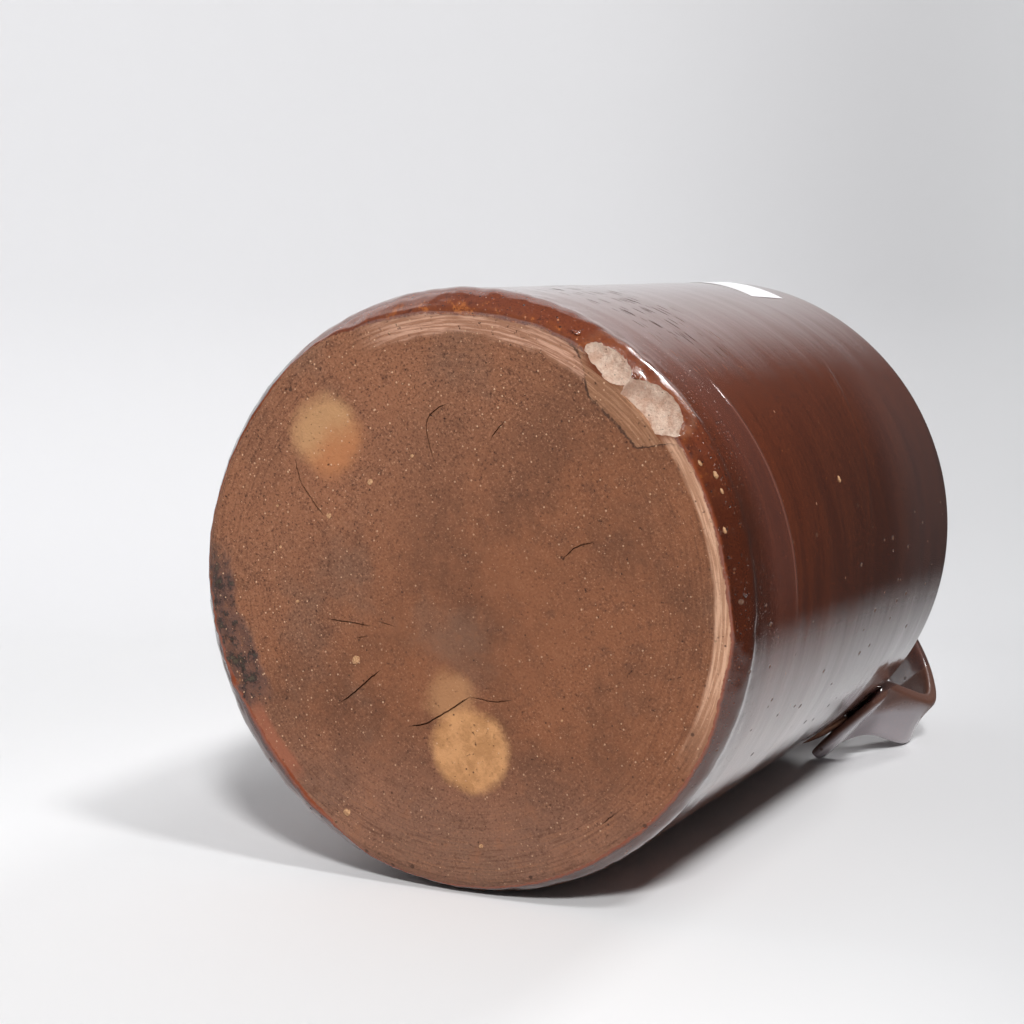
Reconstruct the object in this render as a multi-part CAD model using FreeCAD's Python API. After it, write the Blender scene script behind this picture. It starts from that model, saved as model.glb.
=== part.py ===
import FreeCAD, Part
import math
import os
from FreeCAD import Vector

os.makedirs("parts", exist_ok=True)

# A wide-mouthed stoneware storage crock with one strap handle, in millimetres.
# +Z runs up the axis from the middle of the underside, and the handle stands over +X.
# The clay was made up from five pieces, luted edge to edge and fired together:
# a base slab, a straight wall, a domed shoulder, a neck with its rolled rim, and a strap.

# Driving dimensions of the thrown form
body_radius = 110.0
wall_thickness = 9.0
base_thickness = 13.0
shoulder_seam_height = 263.0
crock_height = 385.0
neck_radius = 64.0
rim_radius = 70.5
rim_height = 19.0

# Heel, where the wall turns under to the flat of the base
heel_inset = 6.3
heel_height = 11.4

# Cove inside the base, and the thin edge where it dies into the wall
cove_radius = 14.0
cove_edge = 2.0

# Shoulder: a tight turn at the seam, then one long dome up to the neck
shoulder_edge_radius = 8.0
shoulder_edge_turn = math.radians(20.0)
dome_radius = 120.0
neck_fillet_radius = 8.0

# Rim: how far its underside slopes and how round its lip is
rim_undercut = 5.0
rim_lip_radius = 6.0

# Strap handle, pulled flat and pressed on at both ends
strap_width = 27.5
strap_thickness = 7.4
strap_groove = 2.0
strap_twist = math.radians(7.0)
handle_reach = 19.6
handle_drop_below_rim = 7.4
root_drop = 12.2
root_width = 45.5
root_side_shift = 8.0
root_twist = math.radians(3.2)
root_end_thickness = 4.2
root_end_gap = 1.9
root_crest = 1.8
root_seat_thickness = 7.8
root_seat_depth = 1.7
neck_root_width = 38.0
neck_root_thickness = 10.0
seat_depth = 3.0
strap_stations = 13

inner_radius = body_radius - wall_thickness
neck_bore_radius = neck_radius - wall_thickness


def point(radius, height):
    return Vector(radius, 0, height)


def on_arc(centre, radius, angle):
    return centre + Vector(radius * math.cos(angle), 0, radius * math.sin(angle))


def line(start, end):
    return Part.makeLine(start, end)


def arc(start, middle, end):
    return Part.Arc(start, middle, end).toShape()


def turned(edges):
    """Solid turned about the axis from one closed outline of edges."""
    face = Part.Face(Part.Wire(edges))
    return face.revolve(Vector(0, 0, 0), Vector(0, 0, 1), 360)


# Points shared by neighbouring pieces
wall_foot = point(body_radius - heel_inset, 0)
heel_middle = point(body_radius - heel_inset * (1 - math.sin(math.pi / 4)),
                    heel_height * (1 - math.cos(math.pi / 4)))
heel_top = point(body_radius, heel_height)
wall_top = point(body_radius, shoulder_seam_height)
wall_top_inside = point(inner_radius, shoulder_seam_height)

edge_centre = point(body_radius - shoulder_edge_radius, shoulder_seam_height)
dome_start = on_arc(edge_centre, shoulder_edge_radius, shoulder_edge_turn)
dome_centre = on_arc(dome_start, -dome_radius, shoulder_edge_turn)
fillet_centre_radius = neck_radius + neck_fillet_radius
fillet_rise = math.sqrt((dome_radius + neck_fillet_radius) ** 2 - (fillet_centre_radius - dome_centre.x) ** 2)
neck_seam_height = dome_centre.z + fillet_rise
fillet_centre = point(fillet_centre_radius, neck_seam_height)
dome_end_angle = math.atan2(fillet_rise, fillet_centre_radius - dome_centre.x)
dome_end = on_arc(dome_centre, dome_radius, dome_end_angle)
neck_foot = point(neck_radius, neck_seam_height)
rim_foot_height = crock_height - rim_height


def make_base_slab():
    """Flat disc inside the foot of the wall, with a cove round its upper edge."""
    edge_top = base_thickness + cove_radius
    cove_start = point(inner_radius - cove_edge, edge_top)
    cove_centre = point(inner_radius - cove_edge - cove_radius, edge_top)
    cove_end = point(cove_centre.x, base_thickness)
    return turned([
        line(point(0, 0), point(inner_radius, 0)),
        line(point(inner_radius, 0), point(inner_radius, edge_top)),
        line(point(inner_radius, edge_top), cove_start),
        arc(cove_start, on_arc(cove_centre, cove_radius, -math.pi / 4), cove_end),
        line(cove_end, point(0, base_thickness)),
        line(point(0, base_thickness), point(0, 0)),
    ])


def make_body_wall():
    """Straight tube with a rounded heel."""
    foot_inside = point(inner_radius, 0)
    return turned([
        line(foot_inside, wall_foot),
        arc(wall_foot, heel_middle, heel_top),
        line(heel_top, wall_top),
        line(wall_top, wall_top_inside),
        line(wall_top_inside, foot_inside),
    ])


def shoulder_outline():
    """Outer edges of the shoulder, from the wall up to the foot of the neck."""
    edge_middle = on_arc(edge_centre, shoulder_edge_radius, shoulder_edge_turn / 2)
    dome_middle = on_arc(dome_centre, dome_radius, (shoulder_edge_turn + dome_end_angle) / 2)
    fillet_middle = on_arc(fillet_centre, -neck_fillet_radius, dome_end_angle / 2)
    return [
        arc(wall_top, edge_middle, dome_start),
        arc(dome_start, dome_middle, dome_end),
        arc(dome_end, fillet_middle, neck_foot),
    ]


def make_shoulder_ring():
    """Dome that closes the wall in to the neck, as thick as the wall."""
    start = wall_top_inside - dome_centre
    inside_radius = start.Length
    start_angle = math.atan2(start.z, start.x)
    end_angle = math.acos((neck_bore_radius - dome_centre.x) / inside_radius)
    inside_end = on_arc(dome_centre, inside_radius, end_angle)
    inside_middle = on_arc(dome_centre, inside_radius, (start_angle + end_angle) / 2)
    neck_foot_inside = point(neck_bore_radius, neck_seam_height)
    return turned(shoulder_outline() + [
        line(neck_foot, neck_foot_inside),
        line(neck_foot_inside, inside_end),
        arc(inside_end, inside_middle, wall_top_inside),
        line(wall_top_inside, wall_top),
    ])


def rim_outline():
    """Outer edges of the neck and rim, from the neck seam over the lip to the bore."""
    rim_foot = point(neck_radius, rim_foot_height)
    rim_low = point(rim_radius, rim_foot_height + rim_undercut)
    lip_outer = point(rim_radius, crock_height - rim_lip_radius)
    outer_centre = point(rim_radius - rim_lip_radius, crock_height - rim_lip_radius)
    crest_out = point(outer_centre.x, crock_height)
    inner_lip = wall_thickness / 2
    inner_centre = point(neck_bore_radius + inner_lip, crock_height - inner_lip)
    crest_in = point(inner_centre.x, crock_height)
    bore_top = point(neck_bore_radius, inner_centre.z)
    return [
        line(neck_foot, rim_foot),
        line(rim_foot, rim_low),
        line(rim_low, lip_outer),
        arc(lip_outer, on_arc(outer_centre, rim_lip_radius, math.pi / 4), crest_out),
        line(crest_out, crest_in),
        arc(crest_in, on_arc(inner_centre, inner_lip, 3 * math.pi / 4), bore_top),
    ]


def make_neck_collar():
    """Short straight neck that ends in a rolled rim."""
    neck_foot_inside = point(neck_bore_radius, neck_seam_height)
    bore_top = point(neck_bore_radius, crock_height - wall_thickness / 2)
    return turned(rim_outline() + [
        line(bore_top, neck_foot_inside),
        line(neck_foot_inside, neck_foot),
    ])


def make_outer_form():
    """The whole crock as if it were filled solid, which the strap is pressed against."""
    bore_top = point(neck_bore_radius, crock_height - wall_thickness / 2)
    return turned([
        line(point(0, 0), wall_foot),
        arc(wall_foot, heel_middle, heel_top),
        line(heel_top, wall_top),
    ] + shoulder_outline() + rim_outline() + [
        line(bore_top, point(0, bore_top.z)),
        line(point(0, bore_top.z), point(0, 0)),
    ])


def ease(share):
    """Smooth step from 0 to 1, flat outside that range."""
    share = max(0.0, min(1.0, share))
    return share * share * (3 - 2 * share)


def strap_path():
    """Middle line of the strap: up the wall, out past it, and back in to the neck."""
    seat_height = rim_foot_height - handle_drop_below_rim
    rise = seat_height - shoulder_seam_height
    end_offset = root_end_gap + root_end_thickness / 2
    seat_offset = root_seat_thickness / 2 - root_seat_depth
    inward = body_radius - neck_radius
    stops = [
        point(body_radius + end_offset, shoulder_seam_height - root_drop),
        point(body_radius + seat_offset + root_crest, shoulder_seam_height - 0.02 * rise),
        point(body_radius + seat_offset, shoulder_seam_height + 0.09 * rise),
        point(body_radius + 0.53 * handle_reach, shoulder_seam_height + 0.27 * rise),
        point(body_radius + handle_reach, shoulder_seam_height + 0.52 * rise),
        point(body_radius + 0.20 * handle_reach, shoulder_seam_height + 0.82 * rise),
        point(body_radius - 0.48 * inward, shoulder_seam_height + 0.98 * rise),
        point(neck_radius - seat_depth, seat_height),
    ]
    path = Part.BSplineCurve()
    path.interpolate(stops)
    return path


def strap_section(path, share):
    """Outline across the strap at a share of its length: round edges, and a thumb groove along its outside."""
    near_root = 1 - ease((share - 0.07) / 0.17)
    on_seat = ease(share / 0.08) * (1 - ease((share - 0.16) / 0.12))
    near_neck = ease((share - 0.80) / 0.20)
    width = strap_width + (root_width - strap_width) * near_root + (neck_root_width - strap_width) * near_neck
    thickness = (strap_thickness
                 + (root_end_thickness - strap_thickness) * (1 - ease(share / 0.08))
                 + (root_seat_thickness - strap_thickness) * on_seat
                 + (neck_root_thickness - strap_thickness) * near_neck)
    groove = strap_groove * (1 - near_root) * (1 - near_neck)
    side_shift = root_side_shift * near_root
    twist = ((root_twist + (strap_twist - root_twist) * ease((share - 0.14) / 0.18))
             * (1 - ease((share - 0.50) / 0.30)))

    where = path.FirstParameter + share * (path.LastParameter - path.FirstParameter)
    centre = path.value(where)
    along = Vector(path.tangent(where)[0])
    outward = Vector(along.z, 0, -along.x)
    edge = 0.35 * thickness
    half = width / 2

    def across(side, up):
        turned_side = side * math.cos(twist) - up * math.sin(twist)
        turned_up = side * math.sin(twist) + up * math.cos(twist)
        return centre + Vector(0, turned_side + side_shift, 0) + outward * turned_up

    left = across(-half + edge, edge), across(-half, 0), across(-half + edge, -edge)
    right = across(half - edge, edge), across(half, 0), across(half - edge, -edge)
    return Part.Wire([
        arc(left[0], across(0, thickness / 2 - groove), right[0]),
        arc(right[0], right[1], right[2]),
        arc(right[2], across(0, -thickness / 2), left[2]),
        arc(left[2], left[1], left[0]),
    ])


def make_strap_handle():
    """Pulled strap, lofted along its path and cut back to the surface it is pressed on."""
    path = strap_path()
    sections = [strap_section(path, i / (strap_stations - 1)) for i in range(strap_stations)]
    strap = Part.makeLoft(sections, True, False)
    return strap.cut(make_outer_form())


pieces = {
    "base_slab": make_base_slab(),
    "body_wall": make_body_wall(),
    "shoulder_ring": make_shoulder_ring(),
    "neck_collar": make_neck_collar(),
    "strap_handle": make_strap_handle(),
}

for name, shape in pieces.items():
    shape.exportStep("parts/" + name + ".step")
    box = shape.BoundBox
    print(name, "solids", len(shape.Solids), "valid", shape.isValid(), "volume", round(shape.Volume),
          "x %.1f %.1f y %.1f %.1f z %.1f %.1f" % (box.XMin, box.XMax, box.YMin, box.YMax, box.ZMin, box.ZMax))
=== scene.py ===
import math
import bpy
from mathutils import Matrix, Vector


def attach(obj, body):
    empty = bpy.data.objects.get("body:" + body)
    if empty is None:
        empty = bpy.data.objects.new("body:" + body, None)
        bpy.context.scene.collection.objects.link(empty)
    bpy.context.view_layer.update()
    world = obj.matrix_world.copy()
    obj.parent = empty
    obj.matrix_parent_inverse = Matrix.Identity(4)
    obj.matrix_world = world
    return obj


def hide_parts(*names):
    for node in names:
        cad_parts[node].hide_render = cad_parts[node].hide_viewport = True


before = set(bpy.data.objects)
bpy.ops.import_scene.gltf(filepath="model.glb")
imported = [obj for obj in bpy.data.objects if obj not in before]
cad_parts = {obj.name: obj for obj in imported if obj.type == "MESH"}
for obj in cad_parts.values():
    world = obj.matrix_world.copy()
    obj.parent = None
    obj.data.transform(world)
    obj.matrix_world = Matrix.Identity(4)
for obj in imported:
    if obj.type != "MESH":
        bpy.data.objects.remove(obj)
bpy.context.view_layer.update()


# Base slab: the crock's flat bottom, a disc of coarse stoneware that was left bare of glaze.
# It was cut from the wheel with a wire, cracked a little as it dried, and was fired on pads of
# clay that left two pale rounds. One side caught the flame and is scorched and crusted.

MM = 0.001
facets = 360
slab_edge = 98.0
slab_top = 13.0
inside_radius = 101.0
cove_radius = 14.0
cove_edge = 2.0
seam_step = 6.0


def extrude(step):
    """Draw what is selected on by a step in metres."""
    bpy.ops.mesh.extrude_region_move(TRANSFORM_OT_translate={"value": step})


class Outline:
    """Half section of a turned piece, drawn point by point in millimetres and then spun."""

    def __init__(self, name, radius, height):
        bpy.ops.object.select_all(action="DESELECT")
        bpy.ops.mesh.primitive_plane_add(size=MM, location=(radius * MM, 0, height * MM))
        bpy.ops.object.transform_apply(location=True)
        self.piece = bpy.context.object
        self.piece.name = name
        self.radius = radius
        self.height = height
        bpy.ops.object.mode_set(mode="EDIT")
        bpy.ops.mesh.select_all(action="SELECT")
        bpy.ops.mesh.merge(type="CENTER")

    def line(self, radius, height, steps=1):
        """Draw on to a point in equal steps."""
        step = ((radius - self.radius) * MM / steps, 0, (height - self.height) * MM / steps)
        for _ in range(steps):
            extrude(step)
        self.radius = radius
        self.height = height

    def arc(self, centre_radius, centre_height, degrees, steps):
        """Draw on round a centre. Positive degrees turn from outwards to upwards."""
        bpy.ops.mesh.spin(steps=steps, angle=math.radians(degrees), axis=(0, 1, 0),
                          center=(centre_radius * MM, 0, centre_height * MM))
        reach = complex(self.radius - centre_radius, self.height - centre_height)
        reach *= complex(math.cos(math.radians(degrees)), math.sin(math.radians(degrees)))
        self.radius = centre_radius + reach.real
        self.height = centre_height + reach.imag

    def turn(self):
        """Turn the outline round the crock's axis and close it."""
        bpy.ops.object.mode_set(mode="OBJECT")
        work(self.piece, "SCREW", angle=2 * math.pi, steps=facets, render_steps=facets, axis="Z",
             use_merge_vertices=True, merge_threshold=0.01 * MM)
        bpy.ops.object.mode_set(mode="EDIT")
        bpy.ops.mesh.select_all(action="SELECT")
        bpy.ops.mesh.remove_doubles(threshold=0.01 * MM)
        bpy.ops.mesh.normals_make_consistent(inside=False)
        bpy.ops.object.mode_set(mode="OBJECT")
        return self.piece


def smooth(share):
    """0 up to 0, 1 from 1 on, and smooth between."""
    share = max(0.0, min(1.0, share))
    return share * share * (3 - 2 * share)


def weigh(piece, name, rule):
    """Vertex group whose weights follow a rule of the place in millimetres."""
    group = piece.vertex_groups.new(name=name)
    for vertex in piece.data.vertices:
        weight = rule(*(vertex.co / MM))
        if weight > 0:
            group.add([vertex.index], min(weight, 1.0), "REPLACE")


def pick(*pieces):
    """Select these pieces and no others, with the first of them active."""
    bpy.ops.object.select_all(action="DESELECT")
    for piece in pieces:
        piece.select_set(True)
    bpy.context.view_layer.objects.active = pieces[0]


def work(piece, kind, **settings):
    """Put one modifier on a piece, set it up and apply it."""
    pick(piece)
    modifier = piece.modifiers.new(kind.lower(), kind)
    for name, value in settings.items():
        setattr(modifier, name, value)
    bpy.ops.object.modifier_apply(modifier=modifier.name)


def lumpy(name, size, depth=2):
    """Texture of soft lumps of a size in millimetres, for pushing clay in and out."""
    texture = bpy.data.textures.new(name, "CLOUDS")
    texture.noise_scale = size * MM
    texture.noise_depth = depth
    return texture


def pebble(detail, radius, scale, bumps, towards, place):
    """Rough egg shape, turned to a heading. Its bumps each say a lump's size, strength and detail."""
    bpy.ops.object.select_all(action="DESELECT")
    bpy.ops.mesh.primitive_ico_sphere_add(subdivisions=detail, radius=radius * MM)
    shape = bpy.context.object
    shape.scale = scale
    bpy.ops.object.transform_apply(scale=True)
    for size, strength, depth in bumps:
        work(shape, "DISPLACE", texture=lumpy("bumps", size, depth), strength=strength * MM, mid_level=0.5,
             texture_coords="LOCAL")
    shape.rotation_euler = (0, 0, math.radians(towards))
    shape.location = place
    bpy.ops.object.transform_apply(location=True, rotation=True)
    return shape


def around(towards, radius, height):
    """Point at a heading round the axis, in metres."""
    turn = math.radians(towards)
    return Vector((radius * math.cos(turn), radius * math.sin(turn), height)) * MM


def join(pieces):
    """Make several loose shapes one object."""
    pick(*pieces)
    bpy.ops.object.join()
    return pieces[0]


def cut(piece, tool, operation="DIFFERENCE"):
    """Cut a tool's shape out of a piece, or add it on, and throw the tool away."""
    work(piece, "BOOLEAN", object=tool, operation=operation, solver="EXACT", material_mode="TRANSFER")
    bpy.data.objects.remove(tool, do_unlink=True)


def heading(x, y):
    """Heading round the axis in degrees, from the handle side at 0 through +Y at 90."""
    return math.degrees(math.atan2(y, x))


def uneven_foot(piece):
    """Slight hollows all over the underside, and the crust where the flame caught its edge."""
    def underside(x, y, z):
        return smooth((3.0 - z) / 3.0) if math.hypot(x, y) < 106 and z < 3 else 0.0

    def scorched(x, y, z):
        reach = math.hypot(x, y)
        if z > 4 or reach < 86:
            return 0.0
        along = smooth((heading(x, y) - 98) / 8) * smooth((140 - heading(x, y)) / 10)
        return along * smooth((reach - 88) / 5) * smooth((108 - reach) / 3)

    weigh(piece, "underside", underside)
    weigh(piece, "scorched", scorched)
    work(piece, "DISPLACE", texture=lumpy("hollows", 26), strength=0.9 * MM, mid_level=0.5,
         direction="Z", texture_coords="LOCAL", vertex_group="underside")
    work(piece, "DISPLACE", texture=lumpy("crust", 3.2), strength=2.6 * MM, mid_level=0.5,
         direction="Z", texture_coords="LOCAL", vertex_group="scorched")


class Wire:
    """One output in a material. Sums written with wires add the nodes that work them out."""

    def __init__(self, tree, socket=None):
        self.tree = tree
        self.socket = socket

    def node(self, kind, settings=None, inputs=None, output=0):
        """Add a node: its settings first, then the values or wires of its inputs."""
        made = self.tree.nodes.new("ShaderNode" + kind)
        for name, value in (settings or {}).items():
            if name == "stops":
                stops = made.color_ramp.elements
                stops[0].position, stops[0].color = value[0]
                stops[1].position, stops[1].color = value[-1]
                for place, colour in value[1:-1]:
                    stops.new(place).color = colour
            else:
                setattr(made, name, value)
        for name, value in (inputs or {}).items():
            if isinstance(value, Wire):
                self.tree.links.new(value.socket, made.inputs[name])
            else:
                made.inputs[name].default_value = value
        return Wire(self.tree, made.outputs[output]) if made.outputs else None

    def other(self, output):
        """Another output of the node that this wire leaves."""
        return Wire(self.tree, self.socket.node.outputs[output])

    def maths(self, operation, *values):
        return self.node("Math", {"operation": operation}, dict(enumerate(values)))

    def vector(self, operation, *values):
        """Vector Math. A length, a distance and a product leave by the second output."""
        output = 1 if operation in ("LENGTH", "DISTANCE", "DOT_PRODUCT") else 0
        return self.node("VectorMath", {"operation": operation}, dict(enumerate(values)), output)

    def __add__(self, value):
        return self.maths("ADD", self, value)

    __radd__ = __add__

    def __sub__(self, value):
        return self.maths("SUBTRACT", self, value)

    def __rsub__(self, value):
        return self.maths("SUBTRACT", value, self)

    def __mul__(self, value):
        return self.maths("MULTIPLY", self, value)

    __rmul__ = __mul__

    def __truediv__(self, value):
        return self.maths("DIVIDE", self, value)


def new_finish(name):
    """An empty material and the wire that its nodes start from."""
    finish = bpy.data.materials.new(name)
    finish.use_nodes = True
    finish.node_tree.nodes.clear()
    return finish, Wire(finish.node_tree)


def show(shader):
    """Make a shader the surface of its material."""
    shader.node("OutputMaterial", inputs={"Surface": shader})


def seen(red, green, blue):
    """Colour as it looks on a screen, 0 to 255, turned into light for the shader."""
    parts = [part / 255 for part in (red, green, blue)]
    parts = [part / 12.92 if part < 0.04 else ((part + 0.055) / 1.055) ** 2.4 for part in parts]
    return (*parts, 1.0)


def millimetres(start):
    """The place on the piece, in millimetres from the middle of the underside."""
    place = start.node("TexCoord", output=3)
    return place.node("VectorMath", {"operation": "SCALE"}, {0: place, "Scale": 1 / MM})


def fade(value, start, end):
    """0 at the start and 1 at the end, smooth between."""
    return value.node("MapRange", {"interpolation_type": "SMOOTHSTEP"},
                      {"Value": value, "From Min": start, "From Max": end})


def blend(factor, under, over):
    """Colour that goes from one to the other as the factor goes from 0 to 1."""
    return factor.node("Mix", {"data_type": "RGBA"}, {0: factor, 6: under, 7: over}, output=2)


def stretch(place, x, y, z, shift=0.0):
    """The place squeezed along each axis, and moved so that two patterns don't agree."""
    squeezed = place.vector("MULTIPLY", place, (x, y, z))
    return place.vector("ADD", squeezed, (shift, 2 * shift, 3 * shift))


def blotches(place, size, shift=0.0, detail=4.0, rough=0.6):
    """Cloudy pattern from 0 to 1 with blotches of a size in millimetres."""
    return place.node("TexNoise", {}, {"Vector": stretch(place, 1, 1, 1, shift), "Scale": 1 / size,
                                       "Detail": detail, "Roughness": rough})


def specks(place, spacing, largest, share, shift=0.0):
    """Round specks: a share of them up to the largest radius, and the rest left out."""
    cells = place.node("TexVoronoi", {}, {"Vector": stretch(place, 1, 1, 1, shift), "Scale": 1 / spacing})
    lot = cells.other(1).node("SeparateColor", {}, {0: cells.other(1)})
    size = fade(lot, 1 - share, 1.0) * (largest / spacing)
    return fade(cells / size.maths("MAXIMUM", size, 0.0001), 1.0, 0.6) * fade(lot, 1 - share, 1.01 - share)


def flatten(place):
    """The place without its height."""
    return place.vector("MULTIPLY", place, (1, 1, 0))


def polar(place, along, outward):
    """Coordinates for marks that run round the axis: fine outward and drawn out around it."""
    reach = place.vector("LENGTH", flatten(place))
    facing = place.vector("NORMALIZE", flatten(place))
    wide = place.node("VectorMath", {"operation": "SCALE"}, {0: facing, "Scale": along})
    deep = place.node("CombineXYZ", {}, {"Z": reach * outward})
    return place.vector("ADD", wide, deep), reach


def compass(place):
    """Heading round the axis in degrees, from the handle side at 0 through +Y at 90."""
    parts = place.node("SeparateXYZ", {}, {0: place})
    return parts.maths("ARCTAN2", parts.other(1), parts) * (180 / math.pi)


def patch(place, x, y, radius, soft, wobble):
    """1 inside a rough round patch on the underside, fading to 0 past its edge."""
    away = place.vector("DISTANCE", flatten(place), (x, y, 0))
    return fade(away + wobble, radius + soft / 2, radius - soft / 2)


def clay_finish(place):
    """Colour, roughness and relief of bare stoneware: blotches, turning marks, grit, pads, scorching."""
    streaks, reach = polar(place, 6.0, 1.1)
    angle = compass(place)
    parts = place.node("SeparateXYZ", {}, {0: place})

    cloudy = blotches(place, 34.0, 3.0, detail=5.0)
    mottled = blotches(place, 7.0, 11.0, detail=5.0, rough=0.7)
    grain = blotches(place, 0.9, 5.0, detail=3.0, rough=0.7)
    crumbs = blotches(place, 1.9, 71.0, detail=4.0, rough=0.75)
    turned_marks = blotches(streaks, 1.0, 7.0, detail=4.0)
    gritty = (0.30 + 0.45 * fade(parts, 30.0, -60.0) + 0.25 * fade(reach, 20.0, 60.0)
              + (blotches(place, 22.0, 83.0) - 0.5) * 0.8 + (mottled - 0.5) * 1.2)

    colour = blend(fade(cloudy, 0.34, 0.66), seen(114, 74, 53), seen(141, 90, 62))
    colour = blend(fade(parts, 10.0, -70.0) * 0.55, colour, seen(162, 110, 82))
    colour = blend(fade(parts + parts.other(1), 60.0, 130.0) * 0.45, colour, seen(150, 115, 98))
    colour = blend(fade(blotches(place, 48.0, 23.0), 0.50, 0.68) * 0.6, colour, seen(126, 94, 76))
    colour = blend(fade(mottled, 0.52, 0.72) * 0.55, colour, seen(105, 69, 52))
    colour = blend(fade(mottled, 0.46, 0.30) * 0.45, colour, seen(150, 99, 71))
    outer = fade(reach, 60.0, 100.0)
    colour = blend(outer * fade(turned_marks, 0.52, 0.66) * 0.5, colour, seen(99, 63, 46))
    colour = blend(outer * fade(turned_marks, 0.46, 0.34) * 0.4, colour, seen(158, 108, 78))
    colour = blend(gritty * fade(grain, 0.52, 0.70), colour, seen(82, 50, 39))
    colour = blend(gritty * fade(grain, 0.46, 0.28), colour, seen(176, 126, 97))

    # Worn ring where the crock stood, pale along its upper left and thin down its right side. Inward
    # of the chips a flake has come off along a dark crack.
    wander = (blotches(place, 16.0, 31.0) - 0.5) * 7
    worn = fade(reach + wander, 92.5, 95.5) * fade(reach, 106.0, 103.5)
    worn = worn * fade(angle, -166.0, -150.0) * fade(angle, -96.0, -112.0)
    inward = (reach - 89.3 - fade(angle, -103.0, -113.0) * 12 - fade(angle, -89.0, -83.5) * 13
              + (crumbs - 0.5) * 3)
    by_chips = fade(angle, -116.0, -112.0) * fade(angle, -80.5, -84.0)
    crack = fade(inward.maths("ABSOLUTE", inward), 0.65, 0.2) * by_chips * fade(mottled, 0.62, 0.48)
    flaked = fade(inward, -0.4, 0.6) * by_chips
    rubbed = fade(reach + wander * 0.3, 98.2, 100.0) * fade(angle, -96.0, -88.0) * fade(angle, -14.0, -40.0)
    scraped = fade(turned_marks, 0.38, 0.56)
    colour = blend(worn * 0.9, colour, blend(scraped, seen(216, 169, 144), seen(172, 124, 98)))
    colour = blend(flaked * 0.7, colour, blend(scraped, seen(184, 138, 107), seen(154, 109, 80)))
    colour = blend(crack * 0.75, colour, seen(62, 42, 36))
    colour = blend(rubbed * 0.85, colour, blend(scraped, seen(226, 180, 150), seen(190, 142, 112)))

    # Two pale rounds where pads of clay kept the flame off, the second with a tail
    ragged = (blotches(place, 9.0, 41.0) - 0.5) * 9 + (grain - 0.5) * 3
    first = patch(place, -76.5, 4.5, 13.6, 8.5, ragged)
    second = patch(place, 46.5, 31.5, 15.2, 5.0, ragged * 0.7)
    tail = patch(place, 27.0, 26.0, 8.5, 8.0, ragged)
    warm = fade(parts + ragged * 1.5, -82.0, -68.0)
    colour = blend(tail * 0.8, colour, seen(182, 132, 92))
    colour = blend(first * 0.9, colour, blend(warm, seen(198, 150, 106), seen(188, 124, 82)))
    sandy = blend(fade(mottled, 0.4, 0.62), seen(210, 155, 106), seen(186, 134, 88))
    colour = blend(second * 0.95, colour, sandy)
    pads = first.maths("MAXIMUM", first, second)

    # Scorched edge: black glassy crust, with one smooth orange patch past its end
    inner_edge = reach + wander * 1.6 - fade(angle, 108.0, 136.0) * 8
    crust = fade(angle, 99.0, 104.0) * fade(angle, 141.0, 129.0) * fade(inner_edge, 87.0, 91.0)
    flakes = blotches(place, 4.5, 61.0, detail=6.0, rough=0.7)
    black = crust * fade(flakes, 0.51, 0.58)
    orange = fade(angle, 80.0, 87.0) * fade(angle, 104.0, 98.0) * fade(reach + wander * 0.6, 94.0, 97.0)
    ashen = blend(fade(mottled, 0.42, 0.58), seen(118, 84, 72), seen(94, 72, 68))
    colour = blend(crust * 0.8, colour, ashen)
    colour = blend(crust * fade(flakes, 0.40, 0.34) * 0.8, colour, seen(166, 112, 78))
    colour = blend(black * 0.9, colour, blend(fade(flakes, 0.56, 0.66), seen(50, 41, 40), seen(84, 76, 60)))
    colour = blend(orange * 0.8, colour, seen(164, 98, 72))

    # Grit: pale grains, dark ones, and pits between them
    pale = specks(place, 1.9, 0.46, 0.50, 3.0) * gritty
    dark = specks(place, 2.6, 0.46, 0.40, 9.0)
    fine = specks(place, 1.0, 0.26, 0.36, 15.0) * gritty
    pits = fade(crumbs, 0.37, 0.30) * (gritty + 0.3)
    colour = blend(pits * 0.8, colour, seen(66, 38, 30))
    colour = blend(pale, colour, seen(222, 180, 146))
    colour = blend(fine * 0.8, colour, seen(206, 158, 122))
    colour = blend(dark * 0.7, colour, seen(60, 38, 32))

    rough = 0.80 - black * 0.45 - orange * 0.2 + (grain - 0.5) * 0.2
    relief = (mottled * 0.6 + grain * 0.4 * (gritty + 0.5) + crumbs * 0.7 + turned_marks * outer * 0.5
              - pads * 0.10 + pale * 0.35 - dark * 0.35 - pits * 0.6 + crust * flakes * 3.5 - flaked * 0.8
              - crack * 0.8)
    return colour, rough, relief


def relieved(relief, depth=0.55):
    """Normal of a surface whose relief is that many millimetres deep."""
    return relief.node("Bump", {}, {"Strength": 1.0, "Distance": depth * MM, "Height": relief})


def fired_clay(colour, rough, relief):
    """Shader of dull clay."""
    return colour.node("BsdfPrincipled", {}, {"Base Color": colour, "Roughness": rough,
                                              "Normal": relieved(relief), "Specular IOR Level": 0.25})


base_outline = Outline("clay_base", 0, 0)
base_outline.line(slab_edge, 0, steps=58)
base_outline.line(slab_edge, seam_step)
base_outline.line(inside_radius, seam_step)
base_outline.line(inside_radius, slab_top + cove_radius)
base_outline.line(inside_radius - cove_edge, slab_top + cove_radius)
base_outline.arc(inside_radius - cove_edge - cove_radius, slab_top + cove_radius, -90, 8)
base_outline.line(0, slab_top, steps=12)
clay_base = base_outline.turn()

bare_clay, clay_start = new_finish("fired clay")
show(fired_clay(*clay_finish(millimetres(clay_start))))
clay_base.data.materials.append(bare_clay)
uneven_foot(clay_base)

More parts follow.
